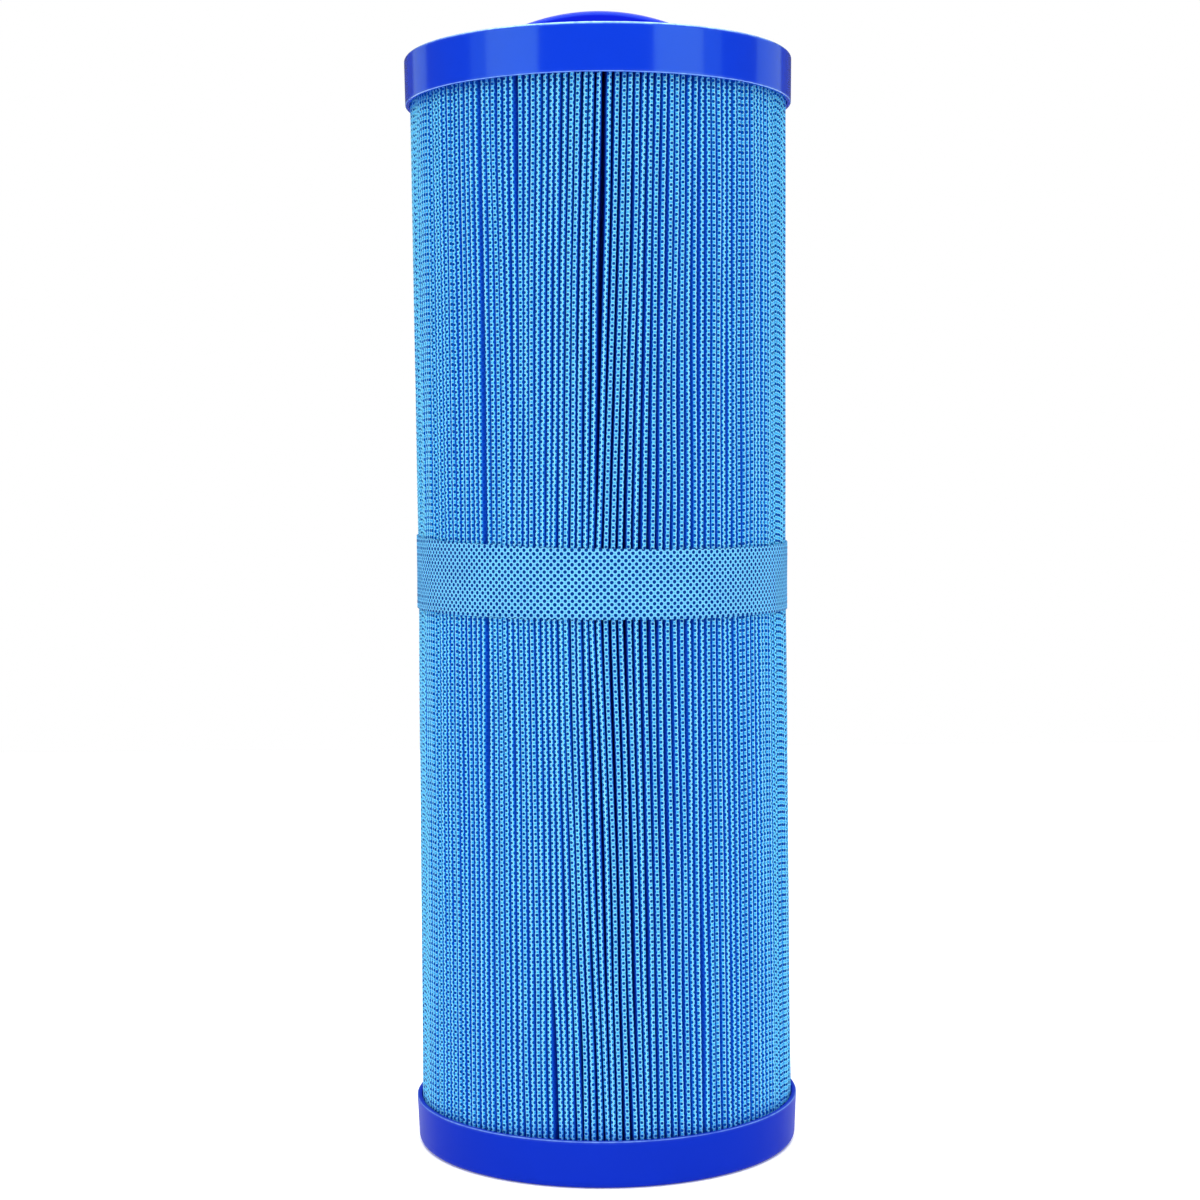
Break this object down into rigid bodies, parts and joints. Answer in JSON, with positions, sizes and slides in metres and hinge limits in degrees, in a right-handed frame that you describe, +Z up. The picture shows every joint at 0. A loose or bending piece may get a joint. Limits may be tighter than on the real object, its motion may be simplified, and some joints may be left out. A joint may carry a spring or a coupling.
{
  "type": "filter cartridge",
  "caption": "Pleated filter cartridge: closed top cap with a carry handle, open bottom cap that slips over a standpipe.",
  "frame": {"origin": "centre of the cartridge's bottom face", "axes": "+Z runs up the cartridge's axis, from the open bottom cap to the handle; +X runs along the handle; the front faces -Y and the media's seam and the band's lap are at +Y"},
  "size_m": [0.1254, 0.1254, 0.3672],
  "materials": {
    "cap_urethane_lower": "satin cast urethane, cobalt blue",
    "cap_urethane_upper": "satin cast urethane, cobalt blue",
    "handle_plastic": "moulded, satin, cobalt blue",
    "core_plastic": "moulded, natural white",
    "plug_plastic": "moulded, natural white",
    "media_polyester": "spun-bonded polyester, point bonded, mid blue",
    "seam_hot_melt": "set hot melt, translucent white",
    "band_polyester": "spun-bonded polyester, point bonded, light blue"
  },
  "bodies": {
    "root": {"bottom_end_cap": "cap_urethane_lower", "top_end_cap": "cap_urethane_upper", "carry_handle": "handle_plastic", "core_lower": "core_plastic", "core_middle": "core_plastic", "core_upper": "core_plastic", "core_plug": "plug_plastic", "pleated_media": "media_polyester", "media_seam": "seam_hot_melt", "media_band": "band_polyester"}
  },
  "joints": []
}
